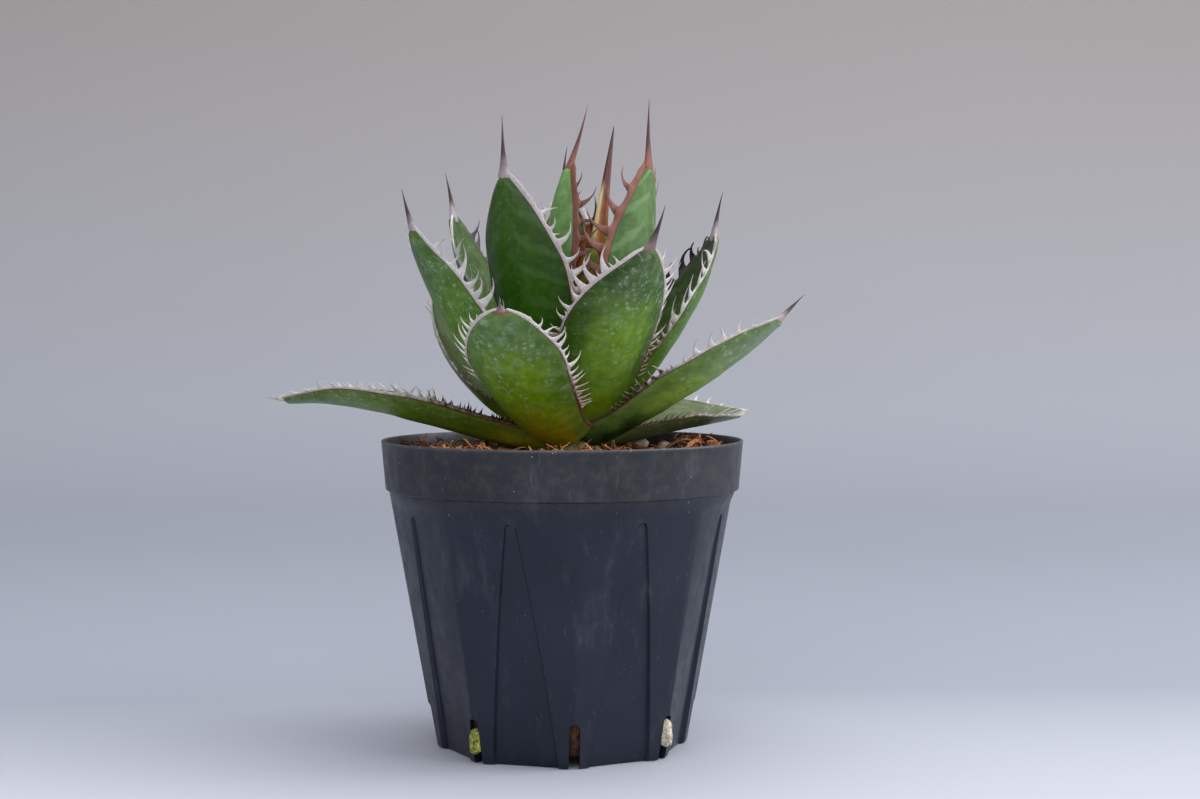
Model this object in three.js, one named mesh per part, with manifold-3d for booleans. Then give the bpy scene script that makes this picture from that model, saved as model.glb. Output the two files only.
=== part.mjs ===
// A young agave in a black plastic slit pot, with its soil, top dressing and every leaf as a piece of its
// own.
//
// Millimetres, +Z up. The origin is the centre of the pot's underside, on the surface that the pot stands
// on. The front of the plant is towards -Y and its right-hand side is towards +X.
import * as THREE from "three";
import { mergeVertices } from "three/addons/utils/BufferGeometryUtils.js";
import Module from "manifold-3d";

const wasm = await Module();
wasm.setup();

// Driving dimensions.
const GAP = 0.3; // clearance kept between neighbouring pieces
const RAD = Math.PI / 180;

const pot = {
  height: 102, // underside to rim
  rimRadius: 60, // outside, at the top edge
  bandRadius: 58.6, // outside, at the band's lower edge
  bandFoot: 85.8, // height of the band's lower edge
  neckRadius: 57.5, // outside, just under the band
  footRadius: 42.2, // outside, at the octagon's corners
  wall: 1.1,
  floor: 1.3,
  lip: 0.35, // bevel of the rim's two edges
  heel: 0.8, // bevel round the foot
  ridgeAzimuth: -84, // one of the eight corners; the others follow every 45 degrees
  sides: 8,
};
// Each side has a sunk triangular panel, narrow and arched at the top.
const panel = {
  top: 78.5, apexHalfWidth: 1.25, footHalfAngle: 15.2, depthTop: 0.8, depthFoot: 1.5, edge: 0.35,
};
const slit = { width: 3.5, top: 14.8, innerRadius: 29 };
const underside = { padRadius: 10, rise: 2.4, ramp: 2.5, ringWidth: 3.2 };
const soilBed = { edgeHeight: 95.2, edgeRadius: 54, moundHeight: 97.6, moundRadius: 22 };
// The short stem leans by leanX above the soil; its profile is height and share of the radius.
const stem = { x: 3.5, y: 0, radius: 8.5, top: 121, leanX: 4 };
const stemProfile = [[60, 0.35], [72, 0.8], [soilBed.moundHeight, 1], [113, 0.85], [stem.top, 0.5]];
// The furled bud: where its tip is, and its profile as height and radius.
const bud = { x: 17.1, y: -1, tip: 205.6, bend: 1.3 };
const budProfile = [
  [121.3, 4.6], [130, 5], [145, 4.4], [160, 3.4], [174, 2.4], [186, 1.5], [196, 0.85], [bud.tip, 0.12],
];

// Every leaf from the oldest to the youngest. rise is the angle above the horizon at the base, in the
// middle and at the spine; azimuth is the direction from +X towards +Y, and swing is added to it along
// the blade.
const leaves = [
  { azimuth: 185, rise: [0, 31, -7], swing: -4, roll: 4, length: 94, width: 33, base: 103.4, spine: 6 },
  { azimuth: 42, rise: [5, 9, 4], swing: -20, roll: 12, length: 65, width: 31, base: 103.4, spine: 5 },
  {
    azimuth: -119, rise: [14, 47, 50], swing: 22, roll: 0, length: 66, width: 32, base: 106, spine: 5,
    start: 12, shoulder: 0.74,
  },
  { azimuth: 148, rise: [4, 41, 76], swing: 0, roll: 0, length: 75, width: 31, base: 106.5, spine: 3 },
  { azimuth: -15, rise: [23, 29, 40], swing: -2, roll: -4, length: 75, width: 33, base: 104.6, spine: 11 },
  { azimuth: 206, rise: [24, 58, 67], swing: 3, roll: 0, length: 86, width: 31, base: 107, spine: 13 },
  { azimuth: 80, rise: [35, 60, 75], swing: 0, roll: 0, length: 76, width: 31, base: 109, spine: 13 },
  { azimuth: -73, rise: [44, 50, 58], swing: 21, roll: 0, length: 75, width: 34, base: 106.5, spine: 15 },
  { azimuth: 162, rise: [37, 62, 76], swing: -2, roll: 0, length: 79, width: 30, base: 111, spine: 15 },
  { azimuth: 15, rise: [42, 48, 76], swing: 0, roll: 0, length: 76, width: 30, base: 109, spine: 15 },
  { azimuth: -130, rise: [45, 72, 82], swing: 2, roll: 0, length: 84, width: 33, base: 112, spine: 19 },
  { azimuth: 108, rise: [58, 84, 94], swing: 0, roll: 0, length: 72, width: 24, base: 114, spine: 17 },
  { azimuth: -32, rise: [60, 79, 85], swing: 0, roll: 0, length: 81, width: 27, base: 114, spine: 22 },
  { azimuth: 200, rise: [72, 92, 106], swing: 0, roll: 0, length: 77, width: 22, base: 116, spine: 22 },
];
const youngLeaves = [
  {
    azimuth: 62, rise: [84, 88, 88], swing: 0, roll: 0, length: 52, width: 13, base: 121.5, spine: 10,
    start: 3, teeth: 4,
  },
  {
    azimuth: -75, rise: [82, 88, 90], swing: 0, roll: 0, length: 44, width: 12, base: 122, spine: 6,
    start: 3, teeth: 4,
  },
];
// The blade's outline: start is how far from the stem's axis it begins, widest how far along it is widest
// and shoulder how bluntly it closes. Its section: cup is how far the margins stand up, as a share of the
// half width.
const shape = {
  start: 4, baseWidth: 0.78, widest: 0.57, fall: 2, shoulder: 0.86, tipHalf: 1.5,
  cup: 0.27, thickBase: 6.2, thickTip: 2.4, edge: 0.5,
};
// The flat teeth of the margin, which lean towards the leaf's tip: the first is small, they are
// full-grown from grown to peak, and they get smaller again towards the last.
const teeth = {
  count: 8, first: 0.18, grown: 0.5, peak: 0.75, last: 0.92,
  foot: 2.8, small: 0.8, tall: 3.2, end: 1.4, lean: 0.5,
};
// The end spine: share of its length and radius.
const spineProfile = [[0.25, 1], [0.65, 0.6], [1, 0.12]];

// Loose pieces of the top dressing: where each lies on the soil, how long it is and which way it points.
const pumiceStones = [
  { x: 26, y: 21, size: 5.4, turn: 20 },
  { x: 34.5, y: 23, size: 4.4, turn: 75 },
  { x: -40, y: -12, size: 4.6, turn: 140 },
  { x: 14, y: -41, size: 5.2, turn: 10 },
  { x: -20, y: 41, size: 4.8, turn: 60 },
  { x: 44, y: -19, size: 4.4, turn: 110 },
];
const barkChips = [
  { x: 48, y: 7, size: 8, turn: 35 },
  { x: -45, y: 12, size: 7.5, turn: 100 },
  { x: -31, y: -33, size: 8.5, turn: 50 },
  { x: 31, y: -34, size: 8, turn: -30 },
  { x: 6, y: 46, size: 9, turn: 15 },
  { x: 40, y: 31, size: 7, turn: 70 },
];
const roots = [
  { x: 41, y: 16, span: 15, rise: 4.2, turn: -10 },
  { x: -36, y: 20, span: 13, rise: 3.4, turn: 60 },
  { x: -8, y: -40, span: 14, rise: 3, turn: 170 },
];
// What has been washed into two of the drainage slits, by the number of the slit counted from the front
// one.
const slitPlugs = [
  { name: "slit_moss", slit: 7, finish: "moss", foot: 3.2, top: 11.8 },
  { name: "slit_pumice", slit: 1, finish: "pumice", foot: 4.4, top: 13.6 },
];

// ---------------------------------------------------------------- helpers

const clamp01 = (t) => Math.min(1, Math.max(0, t));
const mix = (a, b, t) => a + (b - a) * t;
const smooth = (t) => clamp01(t) ** 2 * (3 - 2 * clamp01(t));

// A closed body through rings of equally many points, with a fan at each end.
function ringBody(rings) {
  const count = rings[0].length;
  const points = [];
  const faces = [];
  for (const ring of rings) for (const p of ring) points.push(p.x, p.y, p.z);
  for (let i = 0; i + 1 < rings.length; i++) {
    for (let j = 0; j < count; j++) {
      const next = (j + 1) % count;
      const [a, b, c, d] = [i * count + j, i * count + next, (i + 1) * count + next, (i + 1) * count + j];
      faces.push(a, b, c, a, c, d);
    }
  }
  for (const [row, flip] of [[0, true], [rings.length - 1, false]]) {
    const centre = rings[row].reduce((sum, p) => sum.add(p), new THREE.Vector3()).divideScalar(count);
    const hub = points.length / 3;
    points.push(centre.x, centre.y, centre.z);
    for (let j = 0; j < count; j++) {
      const [a, b] = [row * count + j, row * count + ((j + 1) % count)];
      if (flip) faces.push(hub, b, a);
      else faces.push(hub, a, b);
    }
  }
  let volume = 0;
  const at = (k) => new THREE.Vector3(points[3 * k], points[3 * k + 1], points[3 * k + 2]);
  for (let k = 0; k < faces.length; k += 3) {
    volume += at(faces[k]).dot(at(faces[k + 1]).cross(at(faces[k + 2])));
  }
  if (volume < 0) faces.reverse();
  const geometry = new THREE.BufferGeometry();
  geometry.setAttribute("position", new THREE.Float32BufferAttribute(points, 3));
  geometry.setIndex(faces);
  return geometry;
}

function solidOf(geometry) {
  const bare = geometry.clone();
  bare.deleteAttribute("normal");
  bare.deleteAttribute("uv");
  const merged = mergeVertices(bare, 1e-4);
  return new wasm.Manifold(
    new wasm.Mesh({
      numProp: 3,
      vertProperties: merged.attributes.position.array,
      triVerts: new Uint32Array(merged.index.array),
    }),
  );
}

function geometryOf(solid) {
  const mesh = solid.getMesh();
  const geometry = new THREE.BufferGeometry();
  geometry.setAttribute("position", new THREE.Float32BufferAttribute(mesh.vertProperties, 3));
  geometry.setIndex(Array.from(mesh.triVerts));
  const flat = geometry.toNonIndexed();
  flat.computeVertexNormals();
  return flat;
}

// The largest of the bodies that a cut leaves.
function largest(solid) {
  return solid.decompose().sort((a, b) => b.volume() - a.volume())[0];
}

function boxesMeet(a, b) {
  const [p, q] = [a.boundingBox(), b.boundingBox()];
  return [0, 1, 2].every((k) => p.min[k] < q.max[k] && q.min[k] < p.max[k]);
}

// ---------------------------------------------------------------- pot

// Outside radius of the pot at a height, at an angle from the middle of one side. sunk is 1 inside the
// panel.
function potRadius(z, fromSide, sunk) {
  if (z > pot.bandFoot) {
    return mix(pot.bandRadius, pot.rimRadius, (z - pot.bandFoot) / (pot.height - pot.bandFoot));
  }
  const up = z / pot.bandFoot;
  const corner = mix(pot.footRadius, pot.neckRadius, up);
  const flat = (corner * Math.cos(22.5 * RAD)) / Math.cos(fromSide * RAD);
  const squared = mix(0.95, 0.4, up);
  const depth = z < panel.top ? mix(panel.depthFoot, panel.depthTop, z / panel.top) : 0;
  return mix(corner, flat, squared) - sunk * depth;
}

function panelHalfAngle(z) {
  const apex = panel.apexHalfWidth / pot.neckRadius / RAD;
  return mix(panel.footHalfAngle, apex, clamp01(z / panel.top));
}

// One ring of the pot's skin: eight points a side, two of them on each edge of the sunk panel.
function potRing(z, shapeHeight, inset, scale = 1) {
  const ring = [];
  const step = 360 / pot.sides;
  const half = panelHalfAngle(shapeHeight);
  const edge = half + panel.edge / pot.footRadius / RAD;
  const between = (edge + step / 2) / 2;
  const across = [
    [-step / 2, 0], [-between, 0], [-edge, 0], [-half, 1], [0, 1], [half, 1], [edge, 0], [between, 0],
  ];
  const even = across.map((_, i) => [step * (i / across.length - 0.5), 0]);
  for (let side = 0; side < pot.sides; side++) {
    const middle = pot.ridgeAzimuth + step * (side + 0.5);
    for (const [from, sunk] of shapeHeight > panel.top + 1 ? even : across) {
      const radius = (potRadius(shapeHeight, from, sunk) - inset) * scale;
      const angle = (middle + from) * RAD;
      ring.push(new THREE.Vector3(radius * Math.cos(angle), radius * Math.sin(angle), z));
    }
  }
  return ring;
}

function roundRing(z, radius) {
  return potRing(z, pot.height, 0).map((p) => new THREE.Vector3(p.x, p.y, 0).setLength(radius).setZ(z));
}

function potGeometry() {
  const { height, bandFoot, wall, floor, lip, heel } = pot;
  const ringInner = pot.footRadius - underside.ringWidth;
  const channelOuter = ringInner - underside.ramp;
  const rings = [
    roundRing(0, underside.padRadius),
    roundRing(underside.rise, underside.padRadius + underside.ramp),
    potRing(underside.rise, 0, 0, channelOuter / pot.footRadius),
    potRing(0, 0, 0, ringInner / pot.footRadius),
    potRing(0, 0, heel),
    potRing(heel, heel, 0),
    potRing(40, 40, 0),
    potRing(panel.top - 1, panel.top - 1, 0),
    potRing(panel.top, panel.top, 0),
    potRing(bandFoot - 0.3, bandFoot - 0.3, 0),
    potRing(bandFoot, bandFoot + 0.01, 0),
    potRing(height - lip, height - lip, 0),
    potRing(height, height, lip),
    potRing(height, height, wall - lip),
    potRing(height - lip, height - lip, wall),
    potRing(bandFoot + 1, bandFoot + 1, wall),
    potRing(bandFoot - 0.3, bandFoot - 0.3, wall),
    potRing(panel.top, panel.top, wall),
    potRing(panel.top - 1, panel.top - 1, wall),
    potRing(40, 40, wall),
    potRing(underside.rise + floor, underside.rise + floor, wall),
    roundRing(underside.rise + floor, underside.padRadius + underside.ramp),
  ];
  let body = solidOf(ringBody(rings));
  for (let side = 0; side < pot.sides; side++) {
    body = body.subtract(slitCutter(pot.ridgeAzimuth + (360 / pot.sides) * side));
  }
  return geometryOf(largest(body));
}

// The tool that opens one drainage slit at a corner of the pot, from the floor's channel out through the
// wall.
function slitCutter(azimuth) {
  const half = slit.width / 2;
  const outline = new THREE.Shape();
  outline.moveTo(-half, -2);
  outline.lineTo(half, -2);
  outline.lineTo(half, slit.top - half);
  outline.absarc(0, slit.top - half, half, 0, Math.PI, false);
  outline.lineTo(-half, -2);
  const reach = pot.footRadius + 8 - slit.innerRadius;
  const cutter = new THREE.ExtrudeGeometry(outline, { depth: reach, bevelEnabled: false, curveSegments: 4 });
  cutter.applyMatrix4(new THREE.Matrix4().makeBasis(
    new THREE.Vector3(0, 1, 0), new THREE.Vector3(0, 0, 1), new THREE.Vector3(1, 0, 0)));
  cutter.translate(slit.innerRadius, 0, 0);
  cutter.rotateZ(azimuth * RAD);
  return solidOf(cutter);
}

// ---------------------------------------------------------------- soil and stem

function soilSurface(radius) {
  const { edgeHeight, edgeRadius, moundHeight, moundRadius } = soilBed;
  return mix(moundHeight, edgeHeight, clamp01((radius - moundRadius) / (edgeRadius - moundRadius)));
}

// The soil follows the pot's inside, and keeps clear of the step above each sunk panel.
function soilSolid() {
  const clear = pot.wall + GAP + 0.1;
  const bottom = underside.rise + pot.floor + GAP;
  const top = soilBed.edgeHeight;
  const rings = [
    potRing(bottom, bottom, clear, 0.4),
    potRing(bottom, bottom, clear),
    potRing(40, 40, clear),
    potRing(panel.top - 2, panel.top - 2, clear),
    potRing(panel.top + 1, panel.top, clear + GAP + 0.1),
    potRing(pot.bandFoot - 1, pot.bandFoot - 1, clear),
    potRing(top, top, clear),
    roundRing(top, soilBed.edgeRadius),
    roundRing(soilBed.moundHeight, soilBed.moundRadius),
  ];
  return solidOf(ringBody(rings));
}

function stemRing(z, radius, sides = 12) {
  const lean = (stem.leanX * (z - soilBed.moundHeight)) / (stem.top - soilBed.moundHeight);
  return Array.from({ length: sides }, (_, j) => {
    const angle = (j / sides) * 2 * Math.PI;
    const x = stem.x + Math.max(0, lean) + radius * Math.cos(angle);
    return new THREE.Vector3(x, stem.y + radius * Math.sin(angle), z);
  });
}

function stemSolid(grow = 0) {
  const last = stemProfile.length - 1;
  return solidOf(ringBody(stemProfile.map(([z, share], i) => {
    const end = i === 0 ? -grow : i === last ? grow : 0;
    return stemRing(z + end, (stem.radius + grow) * share);
  })));
}

// ---------------------------------------------------------------- leaves

// The blade's middle line, with the tangent, the sideways and the upward direction at each station.
function centreline(leaf, stations) {
  const z0 = leaf.base;
  const lean = (stem.leanX * (z0 - soilBed.moundHeight)) / (stem.top - soilBed.moundHeight);
  const start = leaf.start ?? shape.start;
  const at = new THREE.Vector3(
    stem.x + lean + start * Math.cos(leaf.azimuth * RAD),
    stem.y + start * Math.sin(leaf.azimuth * RAD),
    z0,
  );
  const frames = [];
  let walked = 0;
  for (const s of stations) {
    const span = (s - walked) * leaf.length;
    if (span > 0) at.addScaledVector(frameAt(leaf, (s + walked) / 2).tangent, span);
    walked = s;
    frames.push({ s, at: at.clone(), ...frameAt(leaf, s) });
  }
  return frames;
}

function frameAt(leaf, s) {
  const t = clamp01(s);
  const [low, middle, high] = leaf.rise;
  const rise = ((1 - t) ** 2 * low + 2 * t * (1 - t) * middle + t * t * high) * RAD;
  const azimuth = (leaf.azimuth + leaf.swing * t) * RAD;
  const roll = leaf.roll * t * RAD;
  const tangent = new THREE.Vector3(
    Math.cos(rise) * Math.cos(azimuth), Math.cos(rise) * Math.sin(azimuth), Math.sin(rise));
  const level = new THREE.Vector3(-Math.sin(azimuth), Math.cos(azimuth), 0);
  const up = tangent.clone().cross(level);
  const side = level.clone().multiplyScalar(Math.cos(roll)).addScaledVector(up, Math.sin(roll));
  return { tangent, side, up: up.multiplyScalar(Math.cos(roll)).addScaledVector(level, -Math.sin(roll)) };
}

function halfWidth(leaf, s) {
  const { baseWidth, widest, fall, tipHalf } = shape;
  const full = leaf.width / 2;
  if (s < widest) return full * mix(baseWidth, 1, Math.sin((Math.PI / 2) * (s / widest)) ** 1.6);
  const t = (s - widest) / (1 - widest);
  return mix(tipHalf, full, (1 - t ** fall) ** (leaf.shoulder ?? shape.shoulder));
}

function toothHeight(s) {
  const grown = mix(teeth.small, teeth.tall, smooth((s - teeth.first) / (teeth.grown - teeth.first)));
  return mix(grown, teeth.end, clamp01((s - teeth.peak) / (teeth.last - teeth.peak)));
}

// How far along the blade the rings lie, and how far a tooth stands out from each.
function leafStations(leaf) {
  const stations = [{ s: 0, tooth: 0 }, { s: 0.08, tooth: 0 }];
  const half = teeth.foot / 2 / leaf.length;
  const count = leaf.teeth ?? teeth.count;
  for (let i = 0; i < count; i++) {
    const s = mix(teeth.first, teeth.last, i / (count - 1));
    stations.push({ s: s - half, tooth: 0 }, { s, tooth: toothHeight(s) }, { s: s + half, tooth: 0 });
  }
  return [...stations, { s: 1, tooth: 0 }];
}

// One ring of a blade: the margins are points 0 and 4, with the upper face between them and the lower
// face after.
function bladeRing(leaf, { s, at, side, up, tangent }, tooth, grow) {
  const half = halfWidth(leaf, s) + grow;
  const cup = shape.cup * half * mix(0.6, 1, smooth(s * 2)) * (1 - s ** 6);
  const thick = mix(shape.thickBase, shape.thickTip, s ** 0.8) * Math.min(1, half / 3);
  const upper = cup * 0.42 + Math.min(shape.edge, half * 0.3) * 0.6 + grow;
  const lower = cup * 0.44 - thick * 0.62 - grow;
  const point = (across, height, reach = 0) => at.clone()
    .addScaledVector(side, across * half + Math.sign(across) * reach)
    .addScaledVector(up, height)
    .addScaledVector(tangent, reach * teeth.lean);
  return [
    point(1, cup, tooth),
    point(0.62, upper),
    point(0, grow),
    point(-0.62, upper),
    point(-1, cup, tooth),
    point(-0.66, lower),
    point(0, -thick - grow),
    point(0.66, lower),
  ];
}

// A leaf with its toothed margin and its end spine, all made larger by grow.
function leafSolid(leaf, grow = 0) {
  const stations = leafStations(leaf);
  const frames = centreline(leaf, stations.map((station) => station.s));
  const rings = frames.map((frame, i) => bladeRing(leaf, frame, stations[i].tooth, grow));
  const end = frames.at(-1);
  for (const [share, radius] of spineProfile) {
    const at = end.at.clone().addScaledVector(end.tangent, share * leaf.spine + grow)
      .addScaledVector(end.up, -shape.thickTip * 0.3 * (1 - share));
    rings.push(Array.from({ length: 8 }, (_, j) => {
      const angle = (j / 8) * 2 * Math.PI;
      return at.clone().addScaledVector(end.side, (radius + grow) * Math.cos(angle))
        .addScaledVector(end.up, (radius + grow) * Math.sin(angle));
    }));
  }
  return solidOf(ringBody(rings));
}

// The furled bud at the heart of the plant, on top of the stem.
function budSolid(grow = 0) {
  return solidOf(ringBody(budProfile.map(([z, radius]) => {
    const lean = ((z - stem.top) / (bud.tip - stem.top)) ** bud.bend;
    const [x, y] = [mix(stem.x + stem.leanX, bud.x, lean), mix(stem.y, bud.y, lean)];
    return Array.from({ length: 8 }, (_, j) => {
      const angle = (j / 8) * 2 * Math.PI;
      return new THREE.Vector3(x + (radius + grow) * Math.cos(angle), y + (radius + grow) * Math.sin(angle), z);
    });
  })));
}

// ---------------------------------------------------------------- loose pieces

// A repeatable number between -1 and 1.
function uneven(seed) {
  return 2 * THREE.MathUtils.seededRandom(seed) - 1;
}

// Puts a loose piece on the highest soil within its reach, turned about its own upright axis.
function lieOnSoil(mesh, { x, y, turn }) {
  const reach = 6;
  mesh.geometry.computeBoundingBox();
  const ground = soilSurface(Math.max(0, Math.hypot(x, y) - reach)) + GAP;
  mesh.rotation.z = turn * RAD;
  mesh.position.set(x, y, ground - mesh.geometry.boundingBox.min.z);
}

// A rounded, pitted pumice stone.
function stoneGeometry(stone, seed) {
  const geometry = new THREE.IcosahedronGeometry(stone.size / 2, 1);
  geometry.deleteAttribute("normal");
  geometry.deleteAttribute("uv");
  const stoneMesh = mergeVertices(geometry, 1e-4);
  const position = stoneMesh.attributes.position;
  for (let i = 0; i < position.count; i++) {
    const swell = 1 + 0.14 * uneven(seed + i);
    const [x, y, z] = [position.getX(i), position.getY(i), position.getZ(i)];
    position.setXYZ(i, 1.15 * swell * x, swell * y, 0.72 * swell * z);
  }
  return stoneMesh;
}

// A flat, split chip of coconut husk.
function chipGeometry(chip, seed) {
  const outline = Array.from({ length: 9 }, (_, j) => {
    const angle = (j / 9) * 2 * Math.PI;
    const radius = (chip.size / 2) * (1 + 0.2 * uneven(seed + j));
    return new THREE.Vector2(radius * Math.cos(angle), 0.55 * radius * Math.sin(angle));
  });
  return new THREE.ExtrudeGeometry(new THREE.Shape(outline), {
    depth: 1, bevelThickness: 0.4, bevelSize: 0.4, bevelOffset: -0.4, bevelSegments: 1,
  });
}

// A thin root that arches out of the soil and back to it.
function rootGeometry(root) {
  const points = Array.from({ length: 9 }, (_, i) => {
    const t = i / 8;
    const sway = 1.2 * Math.sin(2 * Math.PI * t);
    return new THREE.Vector3((t - 0.5) * root.span, sway, root.rise * Math.sin(Math.PI * t));
  });
  const round = new THREE.Shape().absarc(0, 0, 0.45, 0, 2 * Math.PI);
  return new THREE.ExtrudeGeometry(round, {
    steps: 12, curveSegments: 3, bevelEnabled: false, extrudePath: new THREE.CatmullRomCurve3(points),
  });
}

// A piece that fills part of a slit's width and bulges out of it, narrower at both ends.
function plugGeometry(plug) {
  const half = slit.width / 2 - GAP;
  const azimuth = (pot.ridgeAzimuth + (360 / pot.sides) * plug.slit) * RAD;
  const upright = new THREE.Vector3(0, 0, 1);
  const levels = 6;
  const rings = Array.from({ length: levels }, (_, i) => {
    const z = mix(plug.foot, plug.top, i / (levels - 1));
    const skin = mix(pot.footRadius, pot.neckRadius, z / pot.bandFoot);
    const atEnd = i === 0 || i === levels - 1;
    const width = half * (atEnd ? 0.55 : 1 - 0.12 * Math.abs(uneven(i + plug.slit)));
    const bulge = 0.25 * uneven(3 * i + plug.slit);
    const section = [[-1.05, -0.8], [-0.1, -1], [0.15 + bulge, 0], [-0.1, 1], [-1.05, 0.8]];
    return section.map(([out, across]) =>
      new THREE.Vector3(skin + out, across * width, z).applyAxisAngle(upright, azimuth));
  });
  return ringBody(rings);
}

// ---------------------------------------------------------------- the assembly

const finishes = {
  pot: { color: 0x23262c, roughness: 0.45 },
  soil: { color: 0x5a3320, roughness: 1 },
  stem: { color: 0x8a8f4a, roughness: 0.8 },
  leaf: { color: 0x3f6b33, roughness: 0.5 },
  young: { color: 0x9fae5a, roughness: 0.5 },
  bud: { color: 0x8a4a32, roughness: 0.5 },
  pumice: { color: 0xd6cbb8, roughness: 1 },
  bark: { color: 0x7a4526, roughness: 0.9 },
  root: { color: 0xb08a5a, roughness: 0.8 },
  moss: { color: 0x7f8436, roughness: 1 },
};

const agave = new THREE.Group();

function add(name, finish, geometry) {
  const mesh = new THREE.Mesh(geometry, new THREE.MeshStandardMaterial({ ...finishes[finish], metalness: 0 }));
  mesh.name = name;
  agave.add(mesh);
  return mesh;
}

add("pot", "pot", potGeometry());
add("soil", "soil", geometryOf(largest(soilSolid().subtract(stemSolid(GAP)))));
add("stem", "stem", geometryOf(stemSolid()));

add("bud", "bud", geometryOf(budSolid()));
pumiceStones.forEach((stone, i) => {
  lieOnSoil(add(`pumice_${i + 1}`, "pumice", stoneGeometry(stone, 40 * i)), stone);
});
barkChips.forEach((chip, i) => lieOnSoil(add(`bark_${i + 1}`, "bark", chipGeometry(chip, 20 * i + 5)), chip));
roots.forEach((root, i) => lieOnSoil(add(`root_${i + 1}`, "root", rootGeometry(root)), root));
slitPlugs.forEach((plug) => add(plug.name, plug.finish, plugGeometry(plug)));

// The bud keeps its whole shape, and each leaf from the youngest on is trimmed where it clasps what it
// encloses.
const inner = [stemSolid(GAP), budSolid(GAP)];
function addLeaf(name, finish, leaf) {
  let body = leafSolid(leaf);
  for (const other of inner) if (boxesMeet(body, other)) body = largest(body.subtract(other));
  add(name, finish, geometryOf(body));
  inner.push(leafSolid(leaf, GAP + 0.05));
}
youngLeaves.forEach((leaf, i) => addLeaf(`young_leaf_${i + 1}`, "young", leaf));
for (let i = leaves.length; i > 0; i--) addLeaf(`leaf_${String(i).padStart(2, "0")}`, "leaf", leaves[i - 1]);

export default agave;
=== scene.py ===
"""Looks of the potted agave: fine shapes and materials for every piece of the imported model.

Lengths in the tables are in millimetres, as in the model; meshes are made in metres.
"""

import random
from math import copysign, cos, degrees, dist, exp, hypot, pi, radians, sin, sqrt

import bmesh
import bpy
from mathutils import Matrix, Vector, noise


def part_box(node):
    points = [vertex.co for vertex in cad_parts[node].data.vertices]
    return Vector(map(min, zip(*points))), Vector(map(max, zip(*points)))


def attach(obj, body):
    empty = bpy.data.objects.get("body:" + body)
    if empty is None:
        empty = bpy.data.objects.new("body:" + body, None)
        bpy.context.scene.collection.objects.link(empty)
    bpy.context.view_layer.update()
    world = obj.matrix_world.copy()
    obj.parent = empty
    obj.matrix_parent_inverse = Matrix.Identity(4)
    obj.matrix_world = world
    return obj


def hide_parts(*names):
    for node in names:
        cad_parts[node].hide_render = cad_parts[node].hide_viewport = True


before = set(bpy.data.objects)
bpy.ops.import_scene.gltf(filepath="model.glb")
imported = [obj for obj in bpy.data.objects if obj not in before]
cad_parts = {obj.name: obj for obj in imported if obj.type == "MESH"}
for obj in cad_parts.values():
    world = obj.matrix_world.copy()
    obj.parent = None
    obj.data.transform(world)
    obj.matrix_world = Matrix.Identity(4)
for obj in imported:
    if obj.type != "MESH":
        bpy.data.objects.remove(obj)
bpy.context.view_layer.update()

MM = 0.001
TAU = 2 * pi
scene = bpy.context.scene


# ---------- camera and lights

def add_object(name, data, location=(0, 0, 0), rotation=(0, 0, 0)):
    thing = bpy.data.objects.new(name, data)
    thing.location = location
    thing.rotation_euler = rotation
    scene.collection.objects.link(thing)
    return thing


lens = bpy.data.cameras.new("camera")
lens.lens = 63.2
lens.sensor_width = 36
CAMERA_PLACE = (0.0125, -0.7, 0.1427)
LOOKS_DOWN = 2.25
scene.camera = add_object("camera", lens, CAMERA_PLACE, (radians(90 - LOOKS_DOWN), 0, 0))


def area_light(name, size, watts, colour, location, target=(0, 0, 0.12)):
    light = bpy.data.lights.new(name, "AREA")
    light.shape = "SQUARE"
    light.size = size
    light.energy = watts
    light.color = colour
    lamp = add_object(name, light, location)
    lamp.rotation_euler = (Vector(target) - Vector(location)).to_track_quat("-Z", "Y").to_euler()


area_light("window_right", 2.4, 32, (1.0, 0.99, 0.97), (2.4, -0.7, 1.5))
area_light("strip_right", 0.9, 7, (1.0, 0.99, 0.98), (1.4, 0.22, 0.55))
area_light("overhead", 2.4, 36, (0.98, 0.98, 1.0), (0.3, 0.2, 2.2))
area_light("front_fill", 2.4, 38, (0.98, 0.98, 1.0), (-0.3, -2.6, 1.2), (0, 0, 0.08))


scene.view_settings.view_transform = "Standard"


# ---------- material helpers and world

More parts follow.
